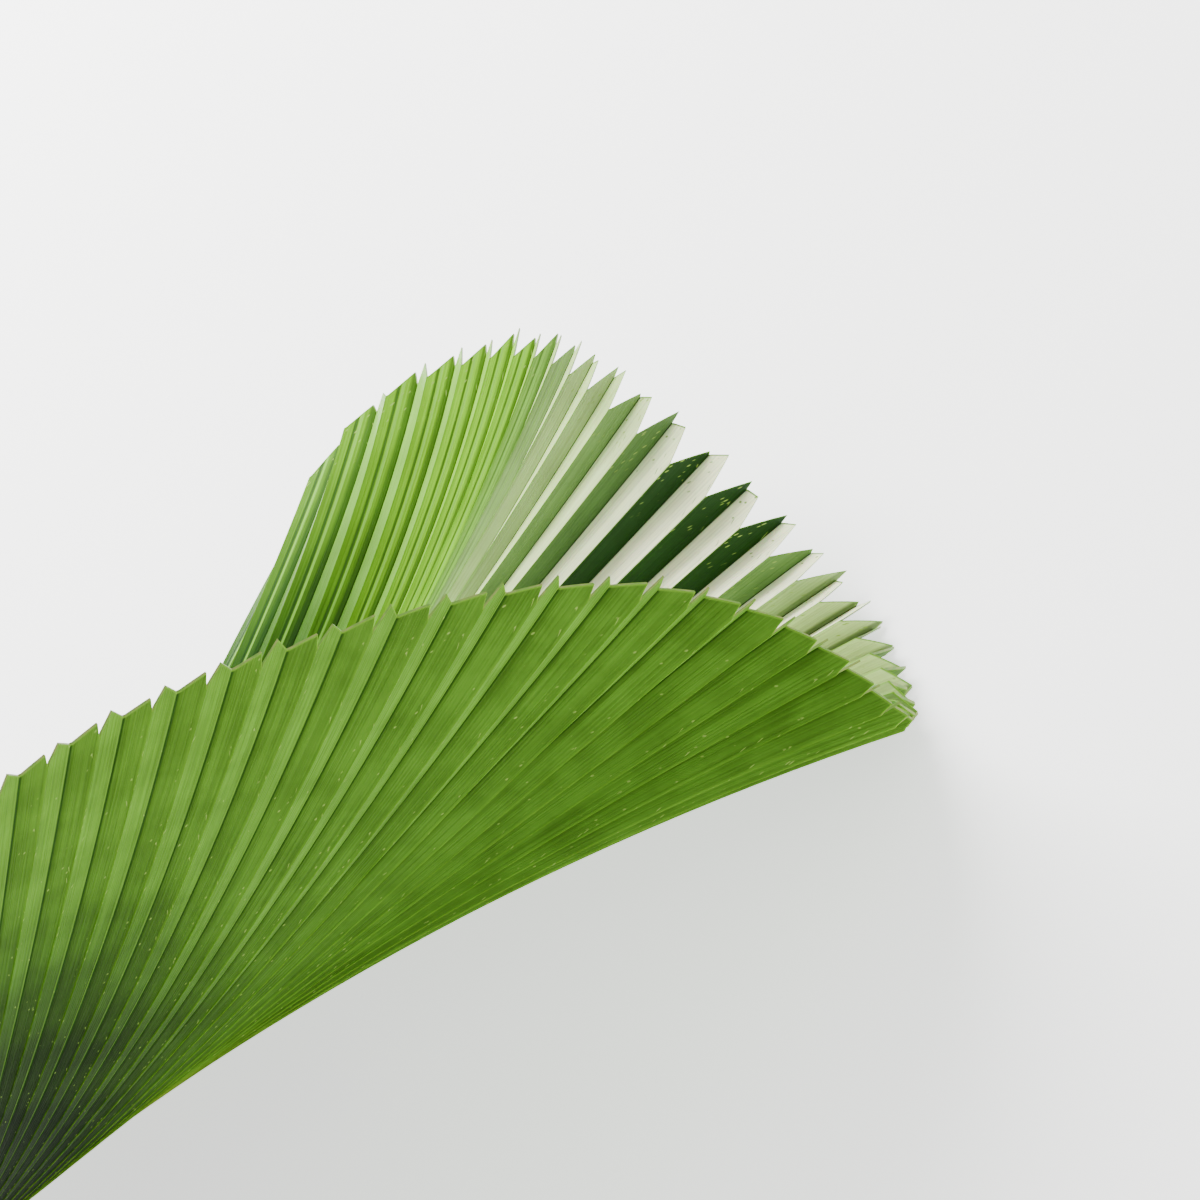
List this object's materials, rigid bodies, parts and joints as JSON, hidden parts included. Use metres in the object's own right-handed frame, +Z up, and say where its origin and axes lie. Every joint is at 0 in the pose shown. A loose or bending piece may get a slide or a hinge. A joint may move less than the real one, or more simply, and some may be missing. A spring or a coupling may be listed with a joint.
{
  "type": "fan palm leaf",
  "caption": "Cut fan palm leaf: a round, finely pleated, ruffled green blade with a saw-toothed rim on a short smooth stalk, lying on a level surface.",
  "frame": {"origin": "on the surface that the leaf lies on, under the middle of its bounding box", "axes": "+Z up from the surface; +X from the cut end of the stalk towards the tip of the front fold; the steep near lobe is on -Y and the low far half on +Y"},
  "size_m": [0.7852, 0.8096, 0.3102],
  "materials": {
    "blade": "satin leaf green, glossier on the upper side",
    "stalk": "smooth yellow-green, satin"
  },
  "bodies": {
    "root": {"leaf_blade": "blade", "leaf_stalk": "stalk"}
  },
  "joints": []
}
